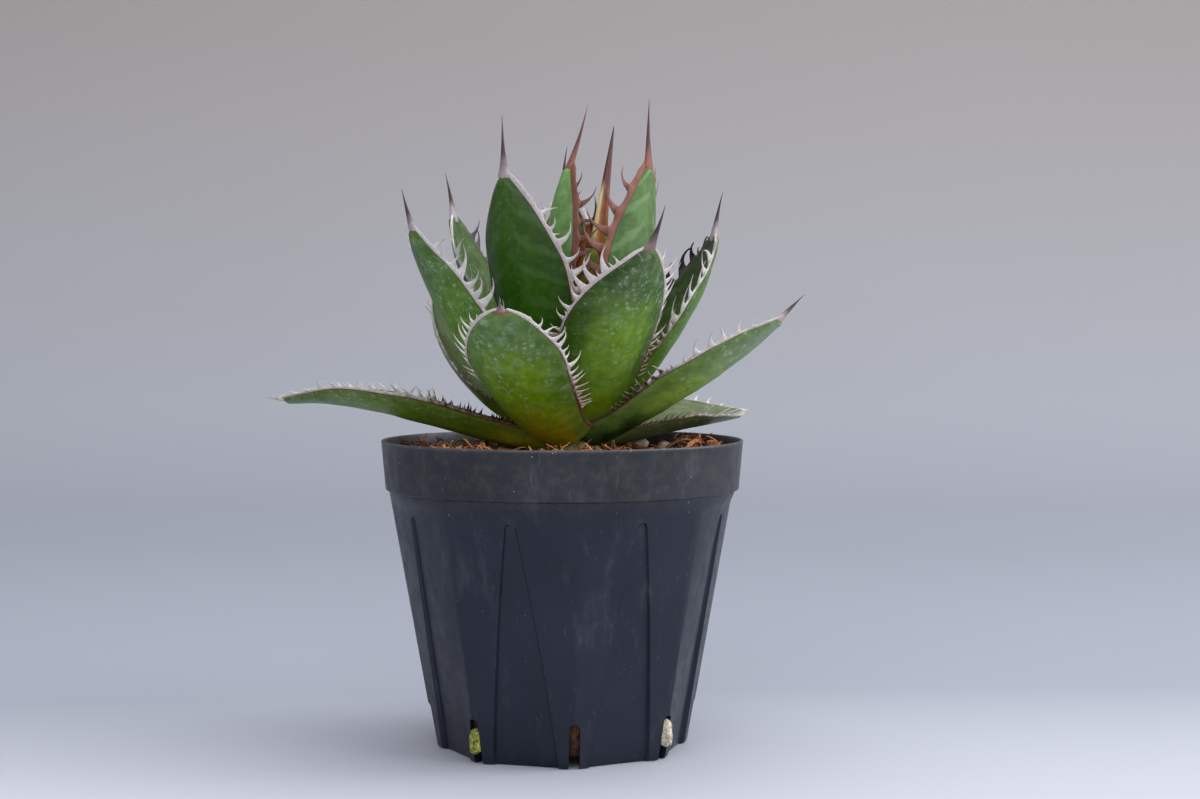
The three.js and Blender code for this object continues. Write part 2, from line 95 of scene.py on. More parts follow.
class Paint:
    """The nodes of a new material, given by its name, or of a world."""

    def __init__(self, owner, shader="Principled BSDF", place="Object"):
        self.owner = bpy.data.materials.new(owner) if isinstance(owner, str) else owner
        self.owner.use_nodes = True
        self.tree = self.owner.node_tree
        self.shader = self.tree.nodes[shader]
        self.place = self.node("TexCoord").outputs[place]

    def node(self, kind, inputs=None, **settings):
        made = self.tree.nodes.new("ShaderNode" + kind)
        for key, value in settings.items():
            setattr(made, key, value)
        for key, value in (inputs or {}).items():
            self.put(made.inputs[key], value)
        return made

    def put(self, socket, value):
        if isinstance(value, bpy.types.NodeSocket):
            self.tree.links.new(value, socket)
        elif isinstance(value, tuple) and len(value) == 3 and socket.type == "RGBA":
            socket.default_value = (*value, 1)
        else:
            socket.default_value = value

    def noise(self, size_mm, detail=4, rough=0.55, stretch=None):
        """Grain about size_mm across, from 0 to 1."""
        place = self.place
        if stretch:
            place = self.node("Mapping", {"Vector": place, "Scale": stretch}).outputs[0]
        inputs = {"Vector": place, "Scale": 1000 / size_mm, "Detail": detail, "Roughness": rough}
        return self.node("TexNoise", inputs).outputs["Fac"]

    def cells(self, size_mm, output="Distance"):
        """Grains size_mm apart: the distance from each one's middle, or a colour of its own."""
        inputs = {"Vector": self.place, "Scale": 1000 / size_mm}
        return self.node("TexVoronoi", inputs).outputs[output]

    def own(self, size_mm):
        """Grains size_mm apart, each with one number from 0 to 1."""
        return self.node("SeparateColor", {0: self.cells(size_mm, "Color")}).outputs[0]

    def math(self, operation, a, b=0.5):
        return self.node("Math", {0: a, 1: b}, operation=operation).outputs[0]

    def times(self, a, b):
        return self.math("MULTIPLY", a, b)

    def wander(self, value, grain, low, high, reach):
        """The value, moved up and down by the grain by as much as reach."""
        return self.math("ADD", value, self.fade(grain, low, high, -reach, reach))

    def fade(self, value, low, high, to_low=0.0, to_high=1.0):
        inputs = {"Value": value, "From Min": low, "From Max": high, "To Min": to_low, "To Max": to_high}
        return self.node("MapRange", inputs, interpolation_type="SMOOTHSTEP").outputs[0]

    def mix(self, share, a, b, blend="MIX"):
        made = self.node("Mix", data_type="RGBA", blend_type=blend)
        self.put(made.inputs[0], share)
        self.put(made.inputs[6], a)
        self.put(made.inputs[7], b)
        return made.outputs[2]

    def coat(self, under, over, share, most):
        """One colour over another, by a share that is scaled down to most."""
        return self.mix(self.times(share, most), under, over)

    def ramp(self, value, *stops):
        made = self.node("ValToRGB", {0: value})
        ramp = made.color_ramp
        while len(ramp.elements) < len(stops):
            ramp.elements.new(0.5)
        for element, (at, colour) in zip(ramp.elements, stops):
            element.position = at
            element.color = (*colour, 1)
        return made.outputs[0]

    def tone(self):
        """The four numbers that each piece's mesh carries for its material."""
        made = self.node("Attribute", attribute_name="tone")
        split = self.node("SeparateColor", {0: made.outputs["Color"]})
        return split.outputs[0], split.outputs[1], split.outputs[2], made.outputs["Alpha"]

    def scale(self, colour, factor):
        """The colour made lighter or darker by a factor that varies over the surface."""
        return self.node("VectorMath", {0: colour, "Scale": factor}, operation="SCALE").outputs[0]

    def bump(self, height, depth_mm, strength=0.5):
        inputs = {"Height": height, "Distance": depth_mm * MM, "Strength": strength}
        earlier = self.shader.inputs["Normal"]
        if earlier.is_linked:
            inputs["Normal"] = earlier.links[0].from_socket
        self.put(self.shader.inputs["Normal"], self.node("Bump", inputs).outputs[0])

    def finish(self, colour, roughness, shine=0.5, tint=(1, 1, 1)):
        self.put(self.shader.inputs["Base Color"], colour)
        self.put(self.shader.inputs["Roughness"], roughness)
        self.put(self.shader.inputs["Specular IOR Level"], shine)
        self.put(self.shader.inputs["Specular Tint"], tint)
        return self.owner


def add_world():
    """Soft air light that is weak on the left and stronger on the right."""
    scene.world = bpy.data.worlds.new("studio_air")
    air = Paint(scene.world, "Background", "Generated")
    across = air.node("SeparateXYZ", {0: air.place}).outputs[0]
    share = air.node("MapRange", {"Value": across, "From Min": -0.9, "From Max": 0.9}).outputs[0]
    air.put(air.shader.inputs["Color"], air.mix(share, (0.28, 0.29, 0.34), (0.84, 0.86, 0.92)))
    air.put(air.shader.inputs["Strength"], 1.1)


add_world()


# ---------- mesh helpers

NO_TONE = (0, 0, 0, 0)


class Form:
    """The points, faces, materials and tones of one piece, in millimetres, until it becomes a mesh."""

    def __init__(self):
        self.points = []
        self.tones = []
        self.faces = []
        self.slots = []

    def loft(self, rings, slot=0, tones=None):
        """A closed skin through rings of equally many points. tones holds one tone a ring, or one a point."""
        first = len(self.points)
        count = len(rings[0])
        for i, ring in enumerate(rings):
            tone = tones[i] if tones else NO_TONE
            self.points += ring
            self.tones += tone if isinstance(tone, list) else [tone] * count
        for i in range(len(rings) - 1):
            for j in range(count):
                a, b = first + i * count + j, first + i * count + (j + 1) % count
                self.face((a, b, b + count, a + count), slot)
        self.face(tuple(range(first, first + count)), slot)
        last = len(self.points) - count
        self.face(tuple(range(last + count - 1, last - 1, -1)), slot)

    def face(self, corners, slot=0):
        self.faces.append(corners)
        self.slots.append(slot)

    def build(self, name, materials, sharp=None):
        mesh = bpy.data.meshes.new(name)
        mesh.from_pydata([p * MM for p in self.points], [], self.faces)
        for material in materials:
            mesh.materials.append(material)
        mesh.polygons.foreach_set("material_index", self.slots)
        layer = mesh.color_attributes.new("tone", "FLOAT_COLOR", "POINT")
        layer.data.foreach_set("color", [v for tone in self.tones for v in (*tone, 0)[:4]])
        work = bmesh.new()
        work.from_mesh(mesh)
        bmesh.ops.recalc_face_normals(work, faces=work.faces)
        work.to_mesh(mesh)
        work.free()
        mesh.shade_smooth()
        if sharp:
            mesh.set_sharp_from_angle(angle=radians(sharp))
        return add_object(name, mesh)


def place_piece(piece, slot, *nodes):
    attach(piece, "root")
    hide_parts(*nodes)
    return piece


def mix(a, b, t):
    return a + (b - a) * t


def smooth(t):
    t = min(1.0, max(0.0, t))
    return t * t * (3 - 2 * t)


def ripple(*place):
    """Soft noise from -1 to 1."""
    return noise.noise(Vector(place))


def ring_points(count):
    return [(cos(TAU * j / count), sin(TAU * j / count)) for j in range(count)]


def oval(at, across, up, half, flat, count):
    return [at + across * (half * x) + up * (flat * y) for x, y in ring_points(count)]


# ---------- stage

def stage_material():
    paint = Paint("sweep_painted_light")
    distance, _, _, _ = paint.tone()
    # Painted light and shade: the ramp makes the floor brightest just in front of the pot and darker further
    # forward and behind it, and changes the backdrop's brightness and tint up the sweep, for how the lamps
    # fall on it.
    colour = paint.ramp(
        paint.wander(distance, paint.noise(900, 2), 0.3, 0.7, 0.008),
        (0.14, (0.27, 0.28, 0.31)), (0.24, (0.44, 0.46, 0.515)), (0.278, (0.485, 0.505, 0.565)),
        (0.305, (0.3, 0.323, 0.378)), (0.34, (0.285, 0.308, 0.36)), (0.4, (0.26, 0.282, 0.332)),
        (0.51, (0.288, 0.305, 0.34)), (0.56, (0.275, 0.272, 0.288)), (0.61, (0.264, 0.246, 0.24)),
    )
    return paint.finish(colour, 0.75)


SWEEP = {"half_width": 6000, "front": -6000, "tone_start": -1600, "bend": 900, "radius": 700, "top": 2600}


def add_stage():
    """The floor and the backdrop in one sweep; each point's tone is its distance along the sweep."""
    bend, radius, width = SWEEP["bend"], SWEEP["radius"], SWEEP["half_width"]
    profile = [(SWEEP["front"], 0), (SWEEP["tone_start"], 0), (bend, 0)]
    for i in range(1, 25):
        angle = pi / 2 * i / 24
        profile.append((bend + radius * sin(angle), radius - radius * cos(angle)))
    profile.append((bend + radius, SWEEP["top"]))
    walked = [0.0, 0.0]
    for before, after in zip(profile[1:], profile[2:]):
        walked.append(walked[-1] + dist(before, after))
    form = Form()
    for (y, z), length in zip(profile, walked):
        for x in (-width, width):
            form.points.append(Vector((x, y, z)))
            form.tones.append((length / walked[-1], 0, 0))
    for i in range(len(profile) - 1):
        a = 2 * i
        form.face((a, a + 1, a + 3, a + 2))
    form.build("sweep", [stage_material()])


add_stage()


# ---------- the leaves' shape

STEM = {"x": 3.5, "top": 121, "lean": 4, "foot": 60, "radius": 8.5}
MOUND_HEIGHT = 97.6

# A leaf's row, as in the model down to base and spine. The rest only shows here: pitch is how far apart the
# large teeth stand, tall how long they are and low how long the fine teeth near the base are.
LEAF_COLUMNS = ("azimuth", "rise", "length", "width", "base", "spine", "pitch", "tall", "low", "finish")
# What the row's last entry can change. light, and the two keys after it, are painted light and shade: they
# make the whole blade, its left side and its underside lighter or darker for how the lamps fall on each leaf.
# Pairs are for the left and the right margin: bare is how far up the first tooth sits, border how far the
# horny border stands out, and dark and curl how dark and how hooked the teeth are.
LEAF_DEFAULTS = dict(swing=0, roll=0, start=4, shoulder=0.86, bare=(0.2, 0.2), border=(0.3, 0.3), dark=(0, 0),
                     curl=(1.25, 1.25), light=1, side_light=0, underside_light=1)


def leaf_tables(*rows):
    return [{**LEAF_DEFAULTS, **dict(zip(LEAF_COLUMNS, row)), **row[-1]} for row in rows]


# From the oldest to the youngest.
LEAVES = leaf_tables(
    (185, (0, 31, -7), 94, 33, 103.4, 6, 3.8, 4.2, 2.2, "old", dict(swing=-4, roll=4, light=1.5)),
    (42, (5, 9, 4), 65, 31, 103.4, 5, 3.6, 4.2, 2, "faded", dict(swing=-20, roll=12)),
    (-119, (14, 47, 50), 66, 32, 106, 5, 3.3, 4, 2.7, "broad",
     dict(swing=22, start=12, shoulder=0.74, bare=(0.22, 0.22), side_light=-0.22)),
    (148, (4, 41, 76), 75, 31, 106.5, 3, 3.4, 4, 2, "old", dict(light=1.2)),
    (-15, (23, 29, 40), 75, 33, 104.6, 11, 4.6, 4.7, 2.6, "bright", dict(swing=-2, roll=-4, light=1.15)),
    (206, (24, 58, 67), 86, 31, 107, 13, 3.9, 6.2, 3, "mid", dict(swing=3, light=1.5)),
    (80, (35, 60, 75), 76, 31, 109, 13, 4.2, 5.6, 2.6, "mid", {}),
    (-73, (44, 50, 58), 75, 34, 106.5, 15, 4, 6.2, 3, "front",
     dict(swing=21, bare=(0.2, 0.3), side_light=0.15)),
    (162, (37, 62, 76), 79, 30, 111, 15, 4, 6.4, 2.8, "mid", dict(swing=-2, dark=(0, 0.9), light=1.2)),
    (15, (42, 48, 76), 76, 30, 109, 15, 5, 8.6, 2.8, "mid",
     dict(dark=(1, 0), curl=(4.2, 1.7), light=0.6, underside_light=2.6)),
    (-130, (45, 72, 82), 84, 33, 112, 19, 5.6, 6.4, 2.8, "dark",
     dict(swing=2, shoulder=0.98, bare=(0.25, 0.97), border=(0.8, 0.1), side_light=-0.15)),
    (108, (58, 84, 94), 72, 24, 114, 17, 5.6, 5.8, 2.6, "mid", dict(border=(0.8, 0.8))),
    (-32, (60, 79, 85), 81, 27, 114, 22, 7, 8.4, 4, "young",
     dict(shoulder=0.95, border=(0.7, 1.6), dark=(0, 0.25), curl=(1.2, 1.9))),
    (200, (72, 92, 106), 77, 22, 116, 22, 6, 6.4, 3.4, "inner",
     dict(border=(1.9, 1.2), dark=(0.2, 0.2), curl=(1.7, 1.7), light=1.65)),
)
YOUNG_LEAVES = leaf_tables(
    (62, (84, 88, 88), 52, 13, 121.5, 10, 6, 4.5, 2.5, "newest", dict(start=3, border=(0.9, 0.9))),
    (-75, (82, 88, 90), 44, 12, 122, 6, 6, 3.5, 2.5, "newest", dict(start=3, border=(0.9, 0.9))),
)
SHAPE = {"base_width": 0.78, "widest": 0.57, "fall": 2, "cup": 0.27, "thick_base": 6.2, "thick_tip": 2.4,
         "tip_half": 1.5, "edge": 0.7}
LAST_TOOTH = 0.95
FINE_PITCH = 2.0
TOOTH_REACH = 1.65


class Leaf:
    """One leaf's middle line and faces."""

    STEPS = 240

    def __init__(self, table, seed):
        self.table = table
        self.seed = seed
        lean = STEM["lean"] * (table["base"] - MOUND_HEIGHT) / (STEM["top"] - MOUND_HEIGHT)
        start, azimuth = table["start"], radians(table["azimuth"])
        at = Vector((STEM["x"] + lean + start * cos(azimuth), start * sin(azimuth), table["base"]))
        self.line = [at.copy()]
        for i in range(self.STEPS):
            at = at + self.axes((i + 0.5) / self.STEPS)[0] * (table["length"] / self.STEPS)
            self.line.append(at)

    def axes(self, s):
        """The blade's direction, its left side and its upper face's normal."""
        t = min(1, max(0, s))
        low, middle, high = self.table["rise"]
        rise = radians((1 - t) ** 2 * low + 2 * t * (1 - t) * middle + t * t * high)
        azimuth = radians(self.table["azimuth"] + self.table["swing"] * t)
        roll = radians(self.table["roll"] * t)
        ahead = Vector((cos(rise) * cos(azimuth), cos(rise) * sin(azimuth), sin(rise)))
        level = Vector((-sin(azimuth), cos(azimuth), 0))
        up = ahead.cross(level)
        return ahead, level * cos(roll) + up * sin(roll), up * cos(roll) - level * sin(roll)

    def middle(self, s):
        place = min(max(s, 0), 1) * self.STEPS
        i = min(int(place), self.STEPS - 1)
        return self.line[i].lerp(self.line[i + 1], place - i)

    def half(self, s):
        full = self.table["width"] / 2
        if s < SHAPE["widest"]:
            return full * mix(SHAPE["base_width"], 1, sin(pi / 2 * s / SHAPE["widest"]) ** 1.6)
        t = (s - SHAPE["widest"]) / (1 - SHAPE["widest"])
        return mix(SHAPE["tip_half"], full, max(0, 1 - t ** SHAPE["fall"]) ** self.table["shoulder"])

    def face(self, s, v, upper):
        """A point of the blade: s runs from base to tip and v from the right margin, -1, to the left, 1."""
        _, side, up = self.axes(s)
        half = self.half(s)
        cup = SHAPE["cup"] * half * mix(0.6, 1, smooth(s * 2)) * (1 - s ** 6)
        height = cup * abs(v) ** 1.8
        height += 0.9 * ripple(s * 5.5, v * 1.2, self.seed) * abs(v) ** 3 * min(1, half / 8)
        height += 0.35 * ripple(s * 9, v * 2.5, self.seed + 7.3) * (1 - v * v)
        edge = min(SHAPE["edge"], half * 0.6)
        if not upper:
            thick = mix(SHAPE["thick_base"], SHAPE["thick_tip"], s ** 0.8) * min(1, half / 3)
            height -= edge + max(0, thick - edge) * (1 - abs(v) ** 2.2) ** 0.85
        return self.middle(s) + side * (v * half) + up * height

    def margin(self, s, sign):
        """The margin's place with its own directions: along it, outwards and upwards."""
        here = (self.face(s, sign, True) + self.face(s, sign, False)) / 2
        step = 0.004
        low, high = max(0, s - step), min(1, s + step)
        along = (self.face(high, sign, True) - self.face(low, sign, True)).normalized()
        _, side, normal = self.axes(s)
        slope = 1.8 * SHAPE["cup"] * mix(0.6, 1, smooth(s * 2)) * (1 - s ** 6)
        side = side * sign + normal * slope
        out = (side - along * side.dot(along)).normalized()
        up = along.cross(out).normalized()
        if up.dot(self.axes(s)[2]) < 0:
            up = -up
        return here, along, out, up


BLADE, HORN = 0, 1
BAND, TOOTH, SPINE = 0, 0.5, 1


def add_blade(form, leaf):
    across = [1 - 2 * i / 20 for i in range(21)]
    light, side_light, underside_light = (leaf.table[key] for key in ("light", "side_light", "underside_light"))
    steps = 72
    rings, tones = [], []
    for i in range(steps + 1):
        s = 1 - (1 - i / steps) ** 1.5
        ring = [leaf.face(s, v, True) for v in across] + [leaf.face(s, v, False) for v in reversed(across)]
        rings.append(ring)
        # The tone's last number is painted light and shade: the whole blade, its left side and its underside
        # made lighter or darker.
        upper = [(s, abs(v), 1, light * (1 + side_light * v)) for v in across]
        lower = [(s, abs(v), 0, light * underside_light * (1 + side_light * v)) for v in reversed(across)]
        tones.append(upper + lower)
    form.loft(rings, BLADE, tones)


def tooth_places(leaf, side, rng):
    """How far along the leaf each tooth of a margin sits, and how long it is."""
    table = leaf.table
    s = table["bare"][side]
    places = []
    while s < LAST_TOOTH:
        grown = smooth((s - 0.3) / 0.32)
        pitch = mix(FINE_PITCH, table["pitch"], grown)
        tall = mix(table["low"], table["tall"], grown) * mix(1, 0.5, smooth((s - 0.82) / 0.14))
        tall *= rng.uniform(0.85, 1.1) if rng.random() < 0.7 else rng.uniform(0.4, 0.7)
        places.append((s, tall))
        if grown > 0.5 and rng.random() < 0.3:
            places.append((s + 0.5 * pitch / table["length"], tall * 0.32))
        s += pitch * rng.uniform(0.8, 1.2) / table["length"]
    return places


def border_width(leaf, s, sign, places):
    """How far the horny border stands out: it runs down from the spine and swells into each tooth's foot."""
    own = leaf.table["border"][0 if sign > 0 else 1]
    wide = own * mix(0.3, 1, smooth((s - 0.2) / 0.4)) + 0.08 * ripple(s * 30, sign, leaf.seed) + 0.05
    wide += min(0.8, 2.4 * own) * smooth((s - 0.84) / 0.12) * mix(1, 0.3, smooth((s - 0.955) / 0.045))
    for place, tall in places:
        apart = (s - place) * leaf.table["length"] / (0.2 * tall + 0.3)
        if abs(apart) < 3:
            wide += 0.17 * tall * exp(-apart * apart)
    return wide


def add_margin(form, leaf, sign, places, dark):
    """The horny border of one side."""
    steps = 190
    rings, tones = [], []
    for i in range(steps + 1):
        s = mix(0.03, 1, i / steps)
        here, along, out, up = leaf.margin(s, sign)
        wide = border_width(leaf, s, sign, places)
        lift = 0.3 * ripple(s * 22, sign * 3, leaf.seed + 2)
        outline = [(-0.3, 0.36), (0, 0.4), (wide * 0.6, 0.27), (wide, 0.08),
                   (wide, -0.08), (wide * 0.6, -0.27), (0, -0.42), (-0.3, -0.38)]
        rings.append([here + out * o + up * (u + lift * max(0, o)) for o, u in outline])
        tones.append([(s, max(0, o) / 3, BAND, dark) for o, u in outline])
    form.loft(rings, HORN, tones)


def add_tooth(form, leaf, sign, s, tall, dark, curl, rng):
    """A flat horny claw with a broad foot and a thin point that hooks, mostly towards the leaf's tip."""
    here, along, out, up = leaf.margin(s, sign)
    grown = mix(0.3, 1, smooth((s - 0.35) / 0.3))
    turn = grown * curl * rng.uniform(0.7, 1.25) * (1 if rng.random() < 0.88 else -0.6)
    lean = rng.uniform(-0.15, 0.3) * grown
    rise = rng.uniform(-0.05, 0.6)
    foot = 0.16 * tall + 0.15
    rings, tones = [], []
    at = here
    steps = 12
    for i in range(steps + 1):
        t = i / steps
        angle = lean + turn * t ** 1.5
        ahead = (out * cos(angle) + along * sin(angle) + up * rise * (1 - t * 0.4)).normalized()
        across = (along * cos(angle) - out * sin(angle)).normalized()
        normal = ahead.cross(across).normalized()
        half = foot * (1 - t) ** 3 + (0.1 * tall + 0.08) * (1 - t) ** 0.8 + 0.03
        flat = min(half, mix(0.34, 0.05, t))
        rings.append(oval(at, across, normal, half, flat, 8))
        tones.append((s, t, TOOTH, dark))
        at = at + ahead * (tall * TOOTH_REACH / steps)
    form.loft(rings, HORN, tones)


def add_spine(form, leaf, rng):
    """The end spine, whose foot spreads down both sides of the blade's tip."""
    ahead, side, up = leaf.axes(1)
    length = leaf.table["spine"]
    sway = rng.uniform(-0.05, 0.05) * length
    bend = rng.uniform(-0.02, 0.07) * length
    stout = mix(0.45, 1, smooth(length / 14))
    rings, tones = [], []
    steps = 26
    for i in range(steps + 1):
        t = i / steps
        u = mix(-0.2 * min(1, 13 / length), 1, t)
        reach = max(0, u)
        at = leaf.middle(1) + ahead * (u * length) - up * (0.6 * (1 - reach))
        at = at + side * (sway * sin(pi * reach) * 1.2) + up * (bend * reach * reach)
        half = (1.4 * (1 - reach) ** 4 + 0.95 * (1 - reach) ** 1.2) * stout + 0.06
        half *= mix(0.55, 1, smooth(t / 0.12))
        flat = min(half, mix(1.05, 0.3, reach) * (1 - reach) ** 0.6 + 0.05)
        rings.append(oval(at, side, up, half, flat, 12))
        tones.append((1, reach, SPINE, 0))
    form.loft(rings, HORN, tones)


def leaf_form(table, seed):
    rng = random.Random(seed)
    leaf = Leaf(table, seed * 3.1)
    form = Form()
    add_blade(form, leaf)
    for side, sign in enumerate((1, -1)):
        places = tooth_places(leaf, side, rng)
        dark, curl = table["dark"][side], table["curl"][side]
        add_margin(form, leaf, sign, places, dark)
        for s, tall in places:
            add_tooth(form, leaf, sign, s, tall, dark, curl, rng)
    add_spine(form, leaf, rng)
    return form


# ---------- the leaves' finish

# The share of pale bloom and how strongly the imprint bands show, then linear colours: low on the blade, in
# its middle, towards its tip and near its margins. The colours were matched to each leaf as it is lit, so
# they hold painted light and shade besides the leaves' own colour: the low colours are raised for light that
# shines through and bounces onto the leaves' feet, and the dark set is painted shade for the leaf at the
# shaded front left.
BLADES = {
    "old": (0.22, 0, (0.2, 0.19, 0.001), (0.075, 0.125, 0.004), (0.08, 0.135, 0.05), (0.045, 0.075, 0.006)),
    "faded": (0.3, 0, (0.07, 0.1, 0.008), (0.09, 0.14, 0.036), (0.112, 0.165, 0.062), (0.075, 0.095, 0.035)),
    "broad": (0.46, 0.12, (0.36, 0.3, 0.001), (0.13, 0.235, 0.001), (0.09, 0.16, 0.045),
              (0.06, 0.125, 0.015)),
    "front": (0.42, 0.1, (0.13, 0.2, 0.001), (0.125, 0.23, 0.02), (0.052, 0.098, 0.026),
              (0.018, 0.056, 0.002)),
    "bright": (0.36, 0, (0.006, 0.022, 0), (0.17, 0.28, 0.03), (0.135, 0.19, 0.12), (0.08, 0.135, 0.025)),
    "mid": (0.24, 0.1, (0.075, 0.135, 0.001), (0.066, 0.14, 0.003), (0.047, 0.086, 0.024),
            (0.036, 0.08, 0.008)),
    "dark": (0.07, 0.12, (0.001, 0.022, 0), (0.022, 0.082, 0), (0.03, 0.078, 0.005), (0.016, 0.05, 0.001)),
    "young": (0.08, 0.5, (0.08, 0.14, 0.03), (0.057, 0.117, 0.035), (0.094, 0.174, 0.054),
              (0.065, 0.13, 0.04)),
    "inner": (0.04, 0.05, (0.08, 0.14, 0.03), (0.08, 0.16, 0.045), (0.095, 0.185, 0.055), (0.07, 0.13, 0.04)),
    "newest": (0.02, 0.2, (0.26, 0.24, 0.01), (0.34, 0.16, 0.01), (0.16, 0.2, 0.03), (0.55, 0.13, 0.01)),
}


def blade_material(name, most_bloom, imprint, low, mid, high, edge):
    paint = Paint(name)
    along, across, upper, light = paint.tone()
    broad = paint.noise(14, 3)
    wander = paint.wander(along, broad, 0.25, 0.75, 0.09)
    colour = paint.mix(paint.fade(wander, 0.1, 0.42), low, mid)
    colour = paint.mix(paint.fade(wander, 0.48, 0.9), colour, high)
    rim = paint.fade(paint.wander(across, broad, 0.2, 0.8, 0.12), 0.4, 1.0, 0.0, 0.85)
    colour = paint.mix(rim, colour, edge)
    colour = paint.mix(paint.times(paint.fade(upper, 0.4, 0.6), 0.35), colour, edge)
    colour = paint.scale(colour, paint.fade(paint.noise(3.2, 5, 0.65), 0.32, 0.7, 0.8, 1.2))
    # The bud's imprint: pale wavy bands that rise from the middle to both margins.
    slope = paint.math("ADD", paint.times(along, 52), paint.times(across, 6))
    wave = paint.math("SINE", paint.math("ADD", slope, paint.times(broad, 8)))
    bands = paint.times(paint.fade(wave, 0.2, 1.0), paint.fade(across, 0.05, 0.35))
    bands = paint.times(bands, paint.fade(along, 0.25, 0.45))
    colour = paint.mix(paint.times(bands, imprint * 0.6), colour, (0.24, 0.38, 0.17))
    # Bloom: a thin waxy film with small pale flecks, thickest towards the tip.
    film = paint.fade(paint.noise(5, 6, 0.7), 0.5, 0.72)
    film = paint.times(film, paint.fade(along, 0.3, 0.95, 0.1, 1))
    spots = paint.fade(paint.cells(2.1), 0.45, 0.15)
    spots = paint.times(spots, paint.fade(paint.own(2.1), 0.5, 1.0, 0, 0.7))
    blots = paint.fade(paint.noise(2.0, 6, 0.74), 0.545, 0.63)
    few = paint.math("MAXIMUM", spots, paint.times(blots, 0.8))
    few = paint.times(few, paint.fade(paint.noise(9, 2), 0.36, 0.6, 0.3, 1.3))
    few = paint.times(few, paint.fade(along, 0.2, 0.6, 0.15, 1))
    bloom = paint.math("MAXIMUM", paint.times(film, 0.7), few)
    colour = paint.coat(colour, (0.4, 0.5, 0.4), bloom, most_bloom)
    # Painted light and shade: each blade made lighter or darker by the last number of its tone.
    colour = paint.scale(colour, light)
    # A thin brown line where the blade meets its horny border, and round the foot of the spine.
    colour = paint.mix(paint.fade(across, 0.955, 0.99, 0, 0.8), colour, (0.075, 0.028, 0.018))
    ends = paint.fade(paint.math("ADD", along, paint.times(broad, 0.01)), 0.99, 0.999, 0, 0.8)
    colour = paint.mix(ends, colour, (0.13, 0.05, 0.02))
    rough = paint.fade(paint.noise(5, 4), 0.3, 0.75, 0.38, 0.55)
    paint.bump(paint.noise(0.5, 3), 0.05, 0.35)
    paint.bump(paint.noise(7, 3), 0.5, 0.3)
    paint.bump(bands, 0.35 * imprint, 0.5)
    return paint.finish(colour, rough, 0.22)


# Linear colours: the horny border low on the leaf and high on it, the teeth likewise, the teeth's points and
# the spine's foot and point.
HORNS = {
    "old": ((0.1, 0.045, 0.025), (0.46, 0.4, 0.36), (0.06, 0.025, 0.018), (0.6, 0.57, 0.55),
            (0.45, 0.4, 0.38), (0.5, 0.46, 0.43), (0.36, 0.3, 0.28)),
    "faded": ((0.16, 0.1, 0.06), (0.42, 0.36, 0.31), (0.2, 0.14, 0.11), (0.62, 0.6, 0.57), (0.55, 0.5, 0.48),
              (0.48, 0.42, 0.38), (0.4, 0.33, 0.3)),
    "broad": ((0.11, 0.038, 0.018), (0.52, 0.47, 0.44), (0.4, 0.3, 0.24), (0.64, 0.6, 0.57),
              (0.55, 0.5, 0.47), (0.22, 0.16, 0.16), (0.1, 0.07, 0.07)),
    "front": ((0.11, 0.04, 0.02), (0.48, 0.43, 0.42), (0.28, 0.17, 0.13), (0.56, 0.51, 0.49),
              (0.45, 0.38, 0.36), (0.2, 0.14, 0.14), (0.05, 0.032, 0.032)),
    "bright": ((0.06, 0.022, 0.012), (0.5, 0.45, 0.42), (0.045, 0.018, 0.014), (0.62, 0.58, 0.56),
               (0.42, 0.36, 0.34), (0.42, 0.36, 0.35), (0.085, 0.06, 0.056)),
    "mid": ((0.12, 0.06, 0.04), (0.52, 0.49, 0.48), (0.24, 0.17, 0.14), (0.58, 0.55, 0.54), (0.36, 0.3, 0.29),
            (0.36, 0.31, 0.31), (0.045, 0.028, 0.028)),
    "dark": ((0.08, 0.03, 0.018), (0.44, 0.39, 0.39), (0.22, 0.15, 0.14), (0.55, 0.51, 0.5),
             (0.42, 0.36, 0.36), (0.34, 0.28, 0.28), (0.05, 0.028, 0.028)),
    "young": ((0.14, 0.045, 0.028), (0.27, 0.105, 0.072), (0.16, 0.055, 0.038), (0.27, 0.11, 0.08),
              (0.1, 0.05, 0.045), (0.25, 0.095, 0.065), (0.085, 0.03, 0.032)),
    "inner": ((0.14, 0.045, 0.028), (0.27, 0.105, 0.072), (0.14, 0.045, 0.035), (0.22, 0.09, 0.07),
              (0.08, 0.04, 0.035), (0.27, 0.105, 0.072), (0.12, 0.045, 0.042)),
    "newest": ((0.5, 0.14, 0.02), (0.24, 0.07, 0.03), (0.1, 0.035, 0.03), (0.09, 0.035, 0.035),
               (0.06, 0.02, 0.02), (0.13, 0.035, 0.03), (0.035, 0.014, 0.014)),
}
DARK_HORN = (0.016, 0.01, 0.01)


